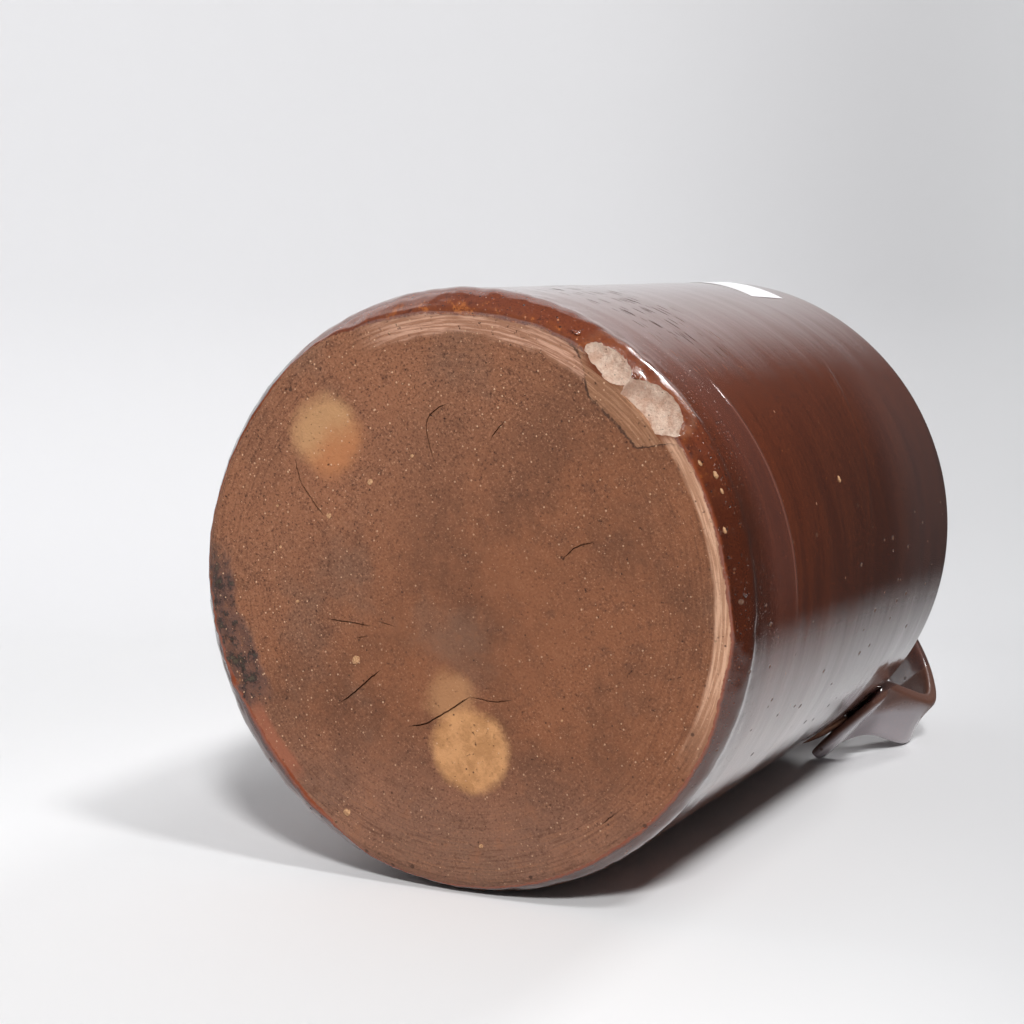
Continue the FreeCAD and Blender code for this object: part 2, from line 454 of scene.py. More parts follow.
# Drying cracks, each drawn by the points x, y that it passes through on the underside
cracks = (
    ((-79.4, 20.4), (-76.1, 22.1), (-71.1, 24.8), (-66.4, 24.8), (-60.7, 25.2), (-54.7, 24.7)),
    ((-42.1, -24.6), (-48.0, -26.9), (-52.8, -29.5), (-55.6, -31.8), (-56.2, -35.6), (-55.8, -39.5),
     (-54.6, -42.2)),
    ((-33.7, -46.9), (-35.1, -49.6), (-35.3, -53.4), (-36.0, -57.1)),
    ((-25.4, 49.0), (-21.0, 44.3), (-15.6, 38.8), (-12.3, 35.5)),
    ((-12.5, 32.6), (-8.9, 29.5), (-5.9, 27.2)),
    ((-13.4, 45.2), (-11.7, 41.6), (-9.8, 38.3)),
    ((1.8, 64.6), (2.5, 59.0), (2.3, 52.1), (2.3, 43.1)),
    ((25.2, 46.7), (28.7, 41.0), (29.3, 34.9), (30.4, 28.9), (30.9, 22.9), (31.4, 19.1)),
    ((31.4, 19.1), (34.3, 16.2), (37.5, 13.6), (40.0, 10.0), (42.0, 5.9)),
    ((15.2, -42.3), (14.6, -46.8), (15.3, -51.2), (17.9, -56.4)),
    ((96.4, 6.4), (95.9, 2.8), (96.0, -1.3)),
)
crack_widths = (0.50, 0.42, 0.40, 0.42, 0.32, 0.28, 0.60, 0.55, 0.40, 0.42, 0.40)
blade_foot = -1.5
blade_height = 3.4
blade_wander = 0.22


def crack_blade(points, width, seed):
    """Thin ragged blade that stands through the underside along a crack."""
    blade = Outline("crack", 0, 0)
    bpy.ops.transform.translate(value=(points[0][0] * MM, points[0][1] * MM, blade_foot * MM))
    for before, after in zip(points, points[1:]):
        step = ((after[0] - before[0]) * MM, (after[1] - before[1]) * MM, 0)
        extrude(step)
    bpy.ops.object.mode_set(mode="OBJECT")
    work(blade.piece, "SUBSURF", levels=3, render_levels=3)
    bpy.ops.object.mode_set(mode="EDIT")
    bpy.ops.mesh.select_all(action="SELECT")
    bpy.ops.transform.vertex_random(offset=blade_wander * MM, seed=seed)
    extrude((0, 0, blade_height * MM))
    bpy.ops.object.mode_set(mode="OBJECT")

    def taper(x, y, z):
        ends = (points[0], points[-1])
        return 0.25 + 0.75 * smooth(min(math.hypot(x - end[0], y - end[1]) for end in ends) / 4)

    weigh(blade.piece, "taper", taper)
    work(blade.piece, "SOLIDIFY", thickness=width * MM, offset=0, vertex_group="taper")
    return blade.piece


for seed, (points, width) in enumerate(zip(cracks, crack_widths)):
    blade = crack_blade(points, width, seed)
    blade.data.materials.append(bare_clay)
    cut(clay_base, blade)

# Grains of pale grit that stand out of the underside: x, y and size
grains = ((-53.9, 23.0, 1.3), (-6.5, 49.0, 1.5), (-52.8, 1.1, 1.0), (-49.3, -18.9, 0.6), (34.9, 89.9, 1.4),
          (75.8, 51.0, 0.7), (58.9, -5.4, 0.5), (-70.4, 38.5, 0.5), (-58.0, 47.6, 0.6), (-38.0, 55.1, 0.6))

pale_grit, grit_start = new_finish("pale grit")
grit_place = millimetres(grit_start)
grit_grain = blotches(grit_place, 0.8, 2.0, rough=0.7)
grit_colour = blend(fade(grit_grain, 0.35, 0.65), seen(160, 112, 76), seen(212, 166, 122))
show(grit_start.node("BsdfPrincipled", {}, {
    "Base Color": grit_colour, "Roughness": 0.7, "Normal": relieved(grit_grain, 0.2)}))

nubs = []
for x, y, size in grains:
    bpy.ops.object.select_all(action="DESELECT")
    bpy.ops.mesh.primitive_ico_sphere_add(subdivisions=3, radius=size * MM,
                                          location=(x * MM, y * MM, 0.1 * MM))
    nub = bpy.context.object
    nub.scale = (1.0, 1.2, 0.35)
    bpy.ops.object.transform_apply(location=True, scale=True)
    work(nub, "DISPLACE", texture=lumpy("nub", 1.3), strength=size * 0.5 * MM, mid_level=0.5,
         texture_coords="LOCAL")
    nub.data.materials.append(pale_grit)
    nubs.append(nub)
cut(clay_base, join(nubs), "UNION")

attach(clay_base, "root")
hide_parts("base_slab")


# Glazed wall: the thrown body in one turn from the foot over the shoulder to the rim and down
# the inside, dipped in brown glaze that ends in a thick roll at the heel. Two chips have broken
# the roll away and show the pale clay under it.

body_radius = 110.0
foot_radius = 103.7
heel_centre = (100.118, 9.420)
heel_turn = 80.508
shoulder_seam = 263.0
edge_centre = 102.0
edge_turn = 20.0
dome_centre = (-3.291, 224.694)
dome_end = 53.971
fillet_centre = (72.0, 328.2)
neck_radius = 64.0
bore_radius = 55.0
bore_foot = 320.0
rim_radius = 70.5
rim_foot = 366.0
crock_height = 385.0
rim_flare = 1.2
rim_flare_height = 2.0
rim_slope = 5.0
rim_round = 6.0
bore_round = 4.5
inside_slope_across = 16.0
inside_slope_up = 30.0

# Throwing rings: the height of each, how far it stands out and how wide it is
throwing_rings = ((31.0, 0.08, 3.0), (66.0, -0.05, 4.0), (93.0, 0.06, 5.0), (118.0, -0.05, 5.0),
                  (141.0, 0.06, 4.0), (167.0, -0.05, 4.0), (207.0, 0.05, 4.0), (226.0, -0.06, 4.0),
                  (246.0, 0.06, 3.0))


def ring_bulge(height):
    """How far the throwing rings stand out of the wall at a height."""
    return sum(bulge * math.exp(-((height - middle) / width) ** 2)
               for middle, bulge, width in throwing_rings)


wall_outline = Outline("glazed_wall", slab_edge, seam_step)
wall_outline.line(slab_edge, 0)
wall_outline.line(foot_radius, 0, steps=11)
wall_outline.arc(*heel_centre, heel_turn, 30)
heel_height = wall_outline.height
wall_rows = 96
for row in range(1, wall_rows):
    height = heel_height + (shoulder_seam - heel_height) * row / wall_rows
    wall_outline.line(body_radius + ring_bulge(height), height)
wall_outline.line(body_radius, shoulder_seam)
wall_outline.arc(edge_centre, shoulder_seam, edge_turn, 4)
wall_outline.arc(*dome_centre, dome_end - edge_turn, 26)
wall_outline.arc(*fillet_centre, -dome_end, 7)
wall_outline.line(neck_radius, rim_foot - rim_flare_height, steps=8)
wall_outline.line(neck_radius + rim_flare, rim_foot)
wall_outline.line(rim_radius, rim_foot + rim_slope, steps=4)
wall_outline.line(rim_radius, crock_height - rim_round, steps=3)
wall_outline.arc(rim_radius - rim_round, crock_height - rim_round, 90, 8)
wall_outline.line(bore_radius + bore_round, crock_height, steps=2)
wall_outline.arc(bore_radius + bore_round, crock_height - bore_round, 90, 6)
wall_outline.line(bore_radius, bore_foot, steps=6)
wall_outline.line(inside_radius - inside_slope_across, shoulder_seam + inside_slope_up, steps=4)
wall_outline.line(inside_radius, shoulder_seam, steps=4)
wall_outline.line(inside_radius, slab_top + cove_radius, steps=6)
wall_outline.line(inside_radius, seam_step)
wall_outline.line(slab_edge, seam_step)
glazed_wall = wall_outline.turn()

# The glaze stops at this distance outward and up from the middle of the underside, by heading
glaze_edge = ((-180, 108.5), (-170, 107.0), (-164, 103.4), (-153, 101.6), (-141, 100.4), (-120, 101.3),
              (-100, 101.8), (-97, 102.4), (-85, 103.2), (-76, 103.0), (-61, 102.5), (-53, 103.5),
              (-45, 105.6), (-34, 104.7), (-26, 106.9), (-8, 107.1), (5, 106.1), (31, 108.2), (42, 109.0),
              (60, 109.6), (66, 104.8), (72, 102.5), (84, 100.6), (100, 100.6), (110, 102.5), (125, 104.5),
              (132, 109.0), (140, 110.0), (150, 107.0), (170, 105.6), (180, 108.5))


def past_glaze_edge(x, y, z):
    """Distance in millimetres up the heel from where the glaze stops."""
    towards = heading(x, y)
    for (start, before), (end, after) in zip(glaze_edge, glaze_edge[1:]):
        if start <= towards <= end:
            return math.hypot(x, y) + z - before - (after - before) * (towards - start) / (end - start)
    return 0.0


def glaze_roll(x, y, z):
    """Thick bead along the edge of the glaze, heaviest along the top of the heel."""
    if z > 16 or math.hypot(x, y) < 97:
        return 0.0
    past = past_glaze_edge(x, y, z)
    heavy = smooth((heading(x, y) + 160) / 15) * smooth((-70 - heading(x, y)) / 15)
    return smooth(past / 0.9) * smooth((4.6 - past) / 3.2) * (0.45 + 0.55 * heavy)


def heel_runs(x, y, z):
    """Where the glaze ran and gathered on the heel."""
    return smooth((30 - z) / 22) * smooth(past_glaze_edge(x, y, z) / 2) if math.hypot(x, y) > 101.5 else 0.0


def outer_wall(x, y, z):
    """1 on the wall's outside and round the shoulder, and 0 elsewhere."""
    return 1.0 if z > 9 and math.hypot(x, y) > 72 and (math.hypot(x, y) > 103 or z > 250) else 0.0


uneven_foot(glazed_wall)
weigh(glazed_wall, "roll", glaze_roll)
weigh(glazed_wall, "runs", heel_runs)
weigh(glazed_wall, "outside", outer_wall)
work(glazed_wall, "DISPLACE", strength=0.55 * MM, mid_level=0.0, direction="NORMAL", vertex_group="roll")
work(glazed_wall, "DISPLACE", texture=lumpy("runs", 7), strength=0.9 * MM, mid_level=0.5,
     direction="NORMAL", texture_coords="LOCAL", vertex_group="runs")
work(glazed_wall, "DISPLACE", texture=lumpy("hand", 60), strength=0.35 * MM, mid_level=0.5,
     direction="NORMAL", texture_coords="LOCAL", vertex_group="outside")


def dipped_glaze(start):
    """Brown glaze over fired clay: amber where it is thin, red-brown and mottled where it is thick."""
    place = millimetres(start)
    reach = place.vector("LENGTH", flatten(place))
    angle = compass(place)
    height = place.node("SeparateXYZ", {}, {0: place}, output=2)
    clay, clay_rough, clay_relief = clay_finish(place)

    # A ramp of greys gives the edge by heading: black is the nearest distance, white the span past it
    nearest = 98
    span = 255
    stops = [((towards + 180) / 360, (edge / span - nearest / span,) * 3 + (1.0,))
             for towards, edge in glaze_edge]
    edge = angle.node("ValToRGB", {"stops": stops}, {0: (angle + 180) / 360}) * span + nearest
    ragged = (blotches(place, 4.0, 13.0, detail=5.0, rough=0.7) - 0.5) * 2.6
    past = reach + height - edge + ragged
    glazed = fade(past, -0.25, 0.35)

    # Throwing lines drawn out round the wall, the mottle of the iron in the glaze, and painted light that
    # makes the glaze lighter and redder towards the upper side of the wall
    lines = blotches(place.vector("MULTIPLY", place, (0.035, 0.035, 0.55)), 1.0)
    broad = blotches(place.vector("MULTIPLY", place, (0.012, 0.012, 0.06)), 1.0, detail=3.0, rough=0.5)
    mottled = blotches(place, 3.2, 17.0, detail=4.0, rough=0.65)
    fine = blotches(place, 0.8, 27.0, detail=3.0, rough=0.7)

    low_wall = fade(height, 150.0, 30.0)
    colour = blend(low_wall, blend(fade(broad, 0.38, 0.62), seen(76, 38, 27), seen(88, 45, 30)),
                   blend(fade(broad, 0.38, 0.62), seen(92, 42, 24), seen(107, 50, 28)))
    # Painted light: the glaze is lighter and redder towards the upper side of the wall, where more light
    # falls on it
    colour = blend(fade(angle, -62.0, -104.0) * 0.75, colour, seen(124, 61, 38))
    drawn = 1 - fade(angle, -84.0, -100.0) * 0.6
    colour = blend(fade(lines, 0.50, 0.68) * 0.38 * drawn, colour, seen(66, 31, 21))
    colour = blend(fade(lines, 0.46, 0.30) * 0.28 * drawn, colour, seen(116, 58, 33))
    colour = blend(fade(mottled, 0.55, 0.72) * 0.45, colour, seen(62, 29, 20))
    colour = blend(fade(fine, 0.54, 0.70) * 0.6, colour, seen(140, 70, 38))
    colour = blend(fade(fine, 0.46, 0.32) * 0.5, colour, seen(58, 28, 21))
    colour = blend(specks(place, 3.4, 0.5, 0.25, 33.0) * 0.8, colour, seen(160, 92, 54))
    pale_grains = specks(stretch(place, 1, 1, 1.6), 9.0, 0.8, 0.34, 35.0)
    colour = blend(pale_grains * 0.9, colour, seen(214, 160, 130))

    # Thin amber band over the heel, strong only on its upper side as painted light, darker again in the
    # gathered roll, with flecks low on the wall
    thin = fade(past, 9.0, 1.5) * fade(past, -0.5, 0.4)
    # Painted light: the amber is strong only on the upper side of the heel, where light falls on it
    painted_lit_heel = fade(angle, -165.0, -145.0) * fade(angle, -66.0, -84.0)
    runny = blotches(place, 6.0, 37.0, detail=4.0, rough=0.7)
    colour = blend(thin * (0.1 + 0.6 * painted_lit_heel) * fade(runny, 0.38, 0.54), colour, seen(128, 64, 32))
    colour = blend(thin * painted_lit_heel * fade(runny, 0.54, 0.64) * 0.8, colour, seen(186, 106, 50))
    low = fade(height, 46.0, 12.0)
    flecks = specks(place, 2.6, 0.55, 0.5, 63.0) * fade(height, 26.0, 8.0)
    burst = specks(place, 1.4, 0.5, 0.55, 91.0) * low
    charred = specks(place, 1.9, 0.55, 0.5, 93.0) * low
    colour = blend(burst * 0.55, colour, seen(176, 88, 44))
    colour = blend(charred * 0.7, colour, seen(38, 18, 12))
    colour = blend(flecks * 0.8, colour, seen(206, 132, 88))
    colour = blend(fade(angle, -88.0, -64.0) * fade(height, 34.0, 12.0) * 0.7, colour, seen(58, 27, 18))
    colour = blend(thin * fade(runny, 0.44, 0.30) * 0.8, colour, seen(58, 26, 18))

    # A redder lip along the edge of the roll, two low ridges that a tool left on the wall, the first with a
    # painted highlight along it and a painted grey reflection on its base side, and pinholes and scuffs
    lip = fade(past, 2.4, 0.4) * fade(angle, -90.0, -80.0) * fade(height, 8.0, 4.0)
    colour = blend(lip * 0.7, colour, seen(150, 74, 42))
    level = height - angle * 0.15 - 61.5
    ridge = (fade(level.maths("ABSOLUTE", level), 1.8, 0.0) * fade(angle, -98.0, -90.0)
             * fade(angle, -42.0, -52.0))
    painted_grey_reflection = (fade(level, -34.0, -16.0) * fade(level, 0.5, -0.5) * fade(angle, -100.0, -92.0)
            * fade(angle, -40.0, -56.0))
    # Painted reflection and highlight: a faint grey sheen between the heel and the first ridge, and a pale
    # line along the ridge itself
    colour = blend(painted_grey_reflection * 0.08, colour, seen(150, 124, 126))
    colour = blend(ridge * 0.22, colour, seen(190, 140, 128))
    slant = height + angle * 0.92
    high_ridge = (fade(slant.maths("ABSOLUTE", slant - 94.0), 3.0, 0.0) * fade(angle, -97.0, -90.0)
                  * fade(angle, -52.0, -62.0))
    pinholes = specks(stretch(place, 1, 1, 0.6), 5.0, 1.1, 0.45, 44.0) * fade(angle, -66.0, -46.0)
    unrolled = place.node("CombineXYZ", {}, {"X": angle * 0.19, "Y": height * 0.62})
    scuffs = specks(unrolled, 1.0, 0.44, 0.85, 6.0)
    scuffed = fade(angle, -92.0, -103.0) * fade(height, 34.0, 46.0) * fade(height, 108.0, 88.0)
    scuffs = fade(scuffs, 0.05, 0.5) * scuffed
    colour = blend(pinholes * 0.8, colour, seen(38, 22, 18))

    # Amber where the glaze broke away round the chips: the heading of each halo and how far it goes
    halos = ((-105.0, 10.5), (-91.2, 11.5))
    halo_radius = 107.0
    halo_fade = 3.0
    near_chip = 0.0
    for towards, reach_out in halos:
        away = place.vector("DISTANCE", place, around(towards, halo_radius, 0.0) / MM)
        halo = fade(away + ragged, reach_out + halo_fade, reach_out - halo_fade) * fade(height, 17.0, 10.0)
        near_chip = halo + near_chip
        colour = blend(halo * fade(runny, 0.40, 0.56) * 0.6, colour, seen(160, 84, 36))

    # Painted reflection: a pale grey sheen near the shoulder and a stronger one on the outside of the
    # strap, standing in for light mirrored in the glaze
    colour = blend(fade(height, 165.0, 225.0) * 0.10, colour, seen(162, 156, 158))
    across = place.node("SeparateXYZ", {}, {0: place})
    slope = height * 0.423 - 2.7
    outside = across - slope.maths("MAXIMUM", slope, 113.0)
    on_strap = fade(across, 111.2, 112.5)
    painted_strap_reflection = fade(outside, 0.4, 2.6) * fade(height, 380.0, 340.0)
    colour = blend(painted_strap_reflection * 0.56, colour, seen(176, 170, 176))

    # Dull glaze on the scuffs, in the pinholes, on the strap's inner face and close to the chips
    dull = scuffs.maths("MAXIMUM", scuffs, pinholes * 0.7)
    dull = dull.maths("MAXIMUM", dull, on_strap * (0.75 - 0.75 * painted_strap_reflection))
    # Painted shade: the strap's inner face, which faces the wall, takes a darker clay colour than the other
    # dull patches
    clay = blend(dull, clay, blend(on_strap, seen(58, 38, 32), seen(80, 44, 31)))
    clay = blend(near_chip * (1 - scuffs), clay, seen(112, 54, 30))
    dull = dull.maths("MAXIMUM", dull, near_chip * fade(past, 1.5, 3.0) * 0.5)
    glazed = glazed * (1 - dull * 0.9)

    rough = (0.10 + (fine - 0.5) * 0.08 + fade(mottled, 0.5, 0.7) * 0.03 + on_strap * (0.22 - 0.14 * painted_strap_reflection)
             + near_chip * 0.15)
    relief = (lines * 0.012 + broad * 0.7 + mottled * 0.07 + fine * 0.035 + runny * thin * 0.4 + ridge * 0.2
              + high_ridge * 0.3 - pinholes * 0.7 + flecks * 0.5 + burst * 0.3 - charred * 0.3
              + near_chip * runny * 1.2)
    coat = (0.6 - on_strap * (0.6 - 0.6 * painted_strap_reflection)) * (1 - near_chip * 0.4) * (1 - lip)
    glaze = place.node("BsdfPrincipled", {}, {
        "Base Color": colour, "Roughness": rough, "Normal": relieved(relief), "IOR": 1.62,
        "Coat Weight": coat, "Coat Roughness": 0.06, "Coat IOR": 1.5})
    bare = fired_clay(clay, clay_rough, clay_relief)
    return place.node("MixShader", {}, {0: glazed, 1: bare, 2: glaze})


brown_glaze, glaze_start = new_finish("brown glaze")
show(dipped_glaze(glaze_start))
glazed_wall.data.materials.append(brown_glaze)

# Under the glaze the clay broke pale and sugary
broken_clay, broken_start = new_finish("broken clay")
broken_place = millimetres(broken_start)
sugar = blotches(broken_place, 0.9, 3.0, detail=4.0, rough=0.75)
broken_colour = blend(fade(blotches(broken_place, 3.0, 9.0), 0.35, 0.65),
                      seen(221, 180, 156), seen(243, 214, 193))
broken_colour = blend(fade(sugar, 0.48, 0.36) * 0.3, broken_colour, seen(160, 112, 88))
broken_colour = blend(specks(broken_place, 1.5, 0.34, 0.5, 4.0) * 0.8, broken_colour, seen(112, 78, 64))
# Painted glints: white specks on the broken clay, pale grains painted brilliant white for the glints they
# throw back
broken_colour = blend(specks(broken_place, 2.3, 0.3, 0.4, 14.0), broken_colour, seen(250, 240, 230))
show(broken_place.node("BsdfPrincipled", {}, {
    "Base Color": broken_colour, "Roughness": 0.75, "Normal": relieved(sugar, 1.3)}))

# The chips: heading, radius, height, size, length along the heel, size of the lumps, and how many
# degrees the long axis is slanted
chips = ((-104.5, 106.0, -7.2, 10.4, 14.5, 5.5, 0.0), (-92.0, 105.5, -5.5, 11.0, 16.5, 6.2, 26.0))
for towards, radius, height, size, length, lumps, slant in chips:
    tool = pebble(5, 1.0, (size, length, size), ((lumps, 2.4, 2), (1.4, 1.1, 3)), towards - slant,
                  around(towards, radius, height))
    tool.data.materials.append(broken_clay)
    cut(glazed_wall, tool)

# Beads where the glaze gathered before it froze, four of them low on the heel made pale with the grit's
# finish, and one grain of grit that it carried up the wall: heading, radius, height and size
beads = ((-78.9, 106.1, 1.3, 1.0), (-75.8, 108.4, 3.8, 1.3), (-72.7, 108.3, 3.7, 0.9),
         (-65.8, 105.9, 1.3, 1.1), (-54.1, 108.6, 4.4, 1.6), (-99.2, 106.0, 1.6, 1.5),
         (-113.5, 105.8, 1.2, 1.6), (-68.7, 110.0, 120.8, 1.6))
drops = []
for towards, radius, height, size in beads:
    on_wall = height > 100
    drop = pebble(3, size, (0.3, 1.0, 0.5) if on_wall else (0.5, 1.2, 0.9), ((0.9, size * 0.4, 2),),
                  towards, around(towards, radius, height))
    drop.data.materials.append(pale_grit if on_wall or -80 < towards < -60 else brown_glaze)
    drops.append(drop)
cut(glazed_wall, join(drops), "UNION")

# The glaze runs on over the floor inside
clay_base.data.materials.append(brown_glaze)
inside_slot = len(clay_base.data.materials) - 1
for face in clay_base.data.polygons:
    if face.center.z > (seam_step + 0.5) * MM:
        face.material_index = inside_slot

for piece in (clay_base, glazed_wall):
    pick(piece)
    bpy.ops.object.shade_smooth_by_angle(angle=math.radians(38))

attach(glazed_wall, "root")
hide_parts("body_wall", "shoulder_ring", "neck_collar")


# Paper label: a blank slip of white paper stuck askew on the wall near the shoulder. Only its
# lower corner shows, on the crock's upper edge.

# Its corners, each by heading and height: right, upper right, upper left and left
label_corners = ((-121.2, 211.6), (-119.0, 241.5), (-137.6, 261.0), (-142.5, 240.5))
label_gap = 0.12
label_thickness = 0.12
label_faces = 24

bpy.ops.object.select_all(action="DESELECT")
bpy.ops.mesh.primitive_grid_add(x_subdivisions=label_faces, y_subdivisions=label_faces, size=MM)
paper_label = bpy.context.object
paper_label.name = "paper_label"
right, right_top, left_top, left = (Vector(corner) for corner in label_corners)
for vertex in paper_label.data.vertices:
    across = vertex.co.x / MM + 0.5
    up = vertex.co.y / MM + 0.5
    towards, height = right.lerp(left, across).lerp(right_top.lerp(left_top, across), up)
    vertex.co = around(towards, body_radius + label_gap, height)
work(paper_label, "SOLIDIFY", thickness=label_thickness * MM, offset=1)
white_paper, label_start = new_finish("white paper")
show(label_start.node("BsdfPrincipled", {}, {"Base Color": seen(243, 242, 244), "Roughness": 0.6}))
paper_label.data.materials.append(white_paper)
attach(paper_label, "root")


# Strap handle: a strip of clay pulled out long and flat, pressed on at the edge of the shoulder
# and under the rim, and dipped with the rest. Its lower end is splayed wide and stands off the
# wall at the tip, with a dark gap under it. Its belly is a little narrower on the side towards
# the floor, which it clears.

# Its middle line: distance from the axis and height at each stop
strap_stops = ((114.0, 250.8), (114.0, 261.1), (112.2, 271.6), (120.4, 288.8), (129.6, 312.7),
               (113.9, 341.4), (87.9, 356.7), (61.0, 358.6))
strap_width = 27.5
strap_thickness = 7.4
strap_groove = 2.0
strap_waist = 3.4
root_width = 45.5
root_shift = 8.0
root_twist = 3.2
root_tip_thickness = 4.2
root_seat_thickness = 7.8
neck_root_width = 38.0
neck_root_thickness = 10.0
strap_twist = 7.0
strap_stations = 34
nudge = 0.004


def strap_middle(share):
    """Point on the strap's middle line, a smooth curve through its stops, in millimetres."""
    stops = [Vector((radius, height)) for radius, height in strap_stops]
    stops = [2 * stops[0] - stops[1]] + stops + [2 * stops[-1] - stops[-2]]
    lengths = [0.0]
    for before, after in zip(stops[1:-1], stops[2:-1]):
        lengths.append(lengths[-1] + (after - before).length)
    along = min(share, 0.99999) * lengths[-1]
    leg = max(index for index, length in enumerate(lengths) if length <= along)
    step = (along - lengths[leg]) / (lengths[leg + 1] - lengths[leg])
    one, two, three, four = stops[leg:leg + 4]
    first, middle, last = (max((after - before).length, 0.01)
                           for before, after in ((one, two), (two, three), (three, four)))
    slope_in = ((two - one) / first - (three - one) / (first + middle) + (three - two) / middle) * middle
    slope_out = ((three - two) / middle - (four - two) / (middle + last) + (four - three) / last) * middle
    cubed = step ** 3
    squared = step ** 2
    return (two * (2 * cubed - 3 * squared + 1) + slope_in * (cubed - 2 * squared + step)
            + three * (3 * squared - 2 * cubed) + slope_out * (cubed - squared))


def strap_size(share):
    """Width, thickness, sideways shift and twist of the strap at a share of its length."""
    near_root = 1 - smooth((share - 0.07) / 0.17)
    on_seat = smooth(share / 0.08) * (1 - smooth((share - 0.16) / 0.12))
    near_neck = smooth((share - 0.80) / 0.20)
    width = (strap_width + (root_width - strap_width) * near_root
             + (neck_root_width - strap_width) * near_neck)
    thick = (strap_thickness + (root_tip_thickness - strap_thickness) * (1 - smooth(share / 0.08))
             + (root_seat_thickness - strap_thickness) * on_seat
             + (neck_root_thickness - strap_thickness) * near_neck)
    twist = root_twist + (strap_twist - root_twist) * smooth((share - 0.14) / 0.18)
    twist *= 1 - smooth((share - 0.50) / 0.30)
    waist = strap_waist * smooth((share - 0.10) / 0.14) * (1 - smooth((share - 0.66) / 0.16))
    width = width * (0.86 + 0.14 * smooth(share / 0.05)) - waist
    return width, thick, root_shift * near_root - waist / 2, twist


def thumb_groove(x, y, z):
    """Weight of the hollow along the outside of the strap, away from its two roots."""
    shares = [station / strap_stations for station in range(strap_stations)]
    share = min(shares, key=lambda one: (strap_middle(one) - Vector((x, z))).length)
    along = strap_middle(share + nudge) - strap_middle(share)
    away = Vector((x, z)) - strap_middle(share)
    if away.x * along.y - away.y * along.x <= 0:
        return 0.0
    width, _, shift, _ = strap_size(share)
    side = (y - shift) / (width / 2)
    return (1 - (side / 0.81) ** 2) * (1 - shift / root_shift) * (1 - smooth((share - 0.80) / 0.20))


# The end of the strap, 8 faces across with round edges, and then drawn on station by station
bpy.ops.object.select_all(action="DESELECT")
bpy.ops.mesh.primitive_grid_add(x_subdivisions=2, y_subdivisions=8, size=MM)
pulled_strap = bpy.context.object
pulled_strap.name = "pulled_strap"
width, thick, shift, _ = strap_size(0)
pulled_strap.scale = (thick, width, 1)
bpy.ops.object.transform_apply(scale=True)
columns = ((-1, 0.42), (-0.97, 0.74), (-0.84, 0.92), (-0.45, 1), (0, 1), (0.45, 1), (0.84, 0.92),
           (0.97, 0.74), (1, 0.42))
bpy.ops.object.mode_set(mode="EDIT")
bpy.ops.mesh.select_mode(type="VERT")
for column, (side, height) in enumerate(columns):
    even = column / 4 - 1
    bpy.ops.mesh.select_all(action="DESELECT")
    bpy.ops.object.mode_set(mode="OBJECT")
    for vertex in pulled_strap.data.vertices:
        vertex.select = abs(vertex.co.y - even * width / 2 * MM) < 0.1 * MM
    bpy.ops.object.mode_set(mode="EDIT")
    bpy.ops.transform.resize(value=(height, 1, 1), center_override=(0, 0, 0))
    bpy.ops.transform.translate(value=(0, (side - even) * width / 2 * MM, 0))
bpy.ops.mesh.select_all(action="SELECT")
centre = strap_middle(0)
lean = 0.0
turn = 0.0
bpy.ops.transform.translate(value=(centre.x * MM, shift * MM, centre.y * MM))
for station in range(strap_stations + 1):
    share = station / strap_stations
    target = strap_middle(share)
    ahead = strap_middle(min(share + nudge, 0.99998)) - strap_middle(max(share - nudge, 0.0))
    new_lean = math.atan2(ahead.x, ahead.y)
    new_width, new_thick, new_shift, new_twist = strap_size(share)
    if station:
        step = ((target.x - centre.x) * MM, (new_shift - shift) * MM, (target.y - centre.y) * MM)
        extrude(step)
    pivot = (target.x * MM, new_shift * MM, target.y * MM)
    across = (Matrix.Rotation(lean, 3, "Y") @ Matrix.Rotation(-turn, 3, "Z")).transposed()
    bpy.ops.transform.resize(value=(new_thick / thick, new_width / width, 1), center_override=pivot,
                             orient_type="LOCAL", orient_matrix=across, orient_matrix_type="LOCAL")
    bpy.ops.transform.rotate(value=-(new_lean - lean), orient_axis="Y", center_override=pivot)
    along = Matrix.Rotation(new_lean, 3, "Y").transposed()
    bpy.ops.transform.rotate(value=math.radians(new_twist) - turn, orient_axis="Z", center_override=pivot,
                             orient_type="LOCAL", orient_matrix=along, orient_matrix_type="LOCAL")
    centre, lean, turn = target, new_lean, math.radians(new_twist)
    width, thick, shift = new_width, new_thick, new_shift
bpy.ops.mesh.select_all(action="SELECT")
bpy.ops.mesh.normals_make_consistent(inside=False)
bpy.ops.object.mode_set(mode="OBJECT")
weigh(pulled_strap, "groove", thumb_groove)
work(pulled_strap, "DISPLACE", strength=-strap_groove * MM, mid_level=0.0, direction="NORMAL",
     vertex_group="groove")
work(pulled_strap, "SUBSURF", levels=2, render_levels=2)
pulled_strap.data.materials.append(brown_glaze)

# Clay worked into the gap under the lip, where the glaze didn't reach
gap_clay_size = (2.6, 14.5, 6.0)
gap_clay_place = (108.6 * MM, 19.0 * MM, 256.0 * MM)
gap_clay = pebble(4, 1.0, gap_clay_size, ((3.0, 1.2, 2),), 10.0, gap_clay_place)
gap_clay.data.materials.append(bare_clay)
cut(pulled_strap, gap_clay, "UNION")
pick(pulled_strap)
bpy.ops.object.shade_smooth()

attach(pulled_strap, "root")
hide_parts("strap_handle")


# Floor of pale paper that the crock lies on, swept up behind it into a backdrop. Painted shade makes it a
# little darker on the backdrop and towards the right, and it thins out to nothing there, so that the glaze
# mirrors a soft edge with the dark room past it.

floor_up = Vector((-0.76283, -0.64660, 0.00032)).normalized()
floor_right = Vector((0.58024, -0.68433, 0.44160)).normalized()
floor_forward = floor_up.cross(floor_right)
floor_below = 110.3
paper_right = 640.0
paper_left = -2400.0
curve_start = 525.0
curve_radius = 210.0
paper_near = -1800.0
paper_top = 1900.0

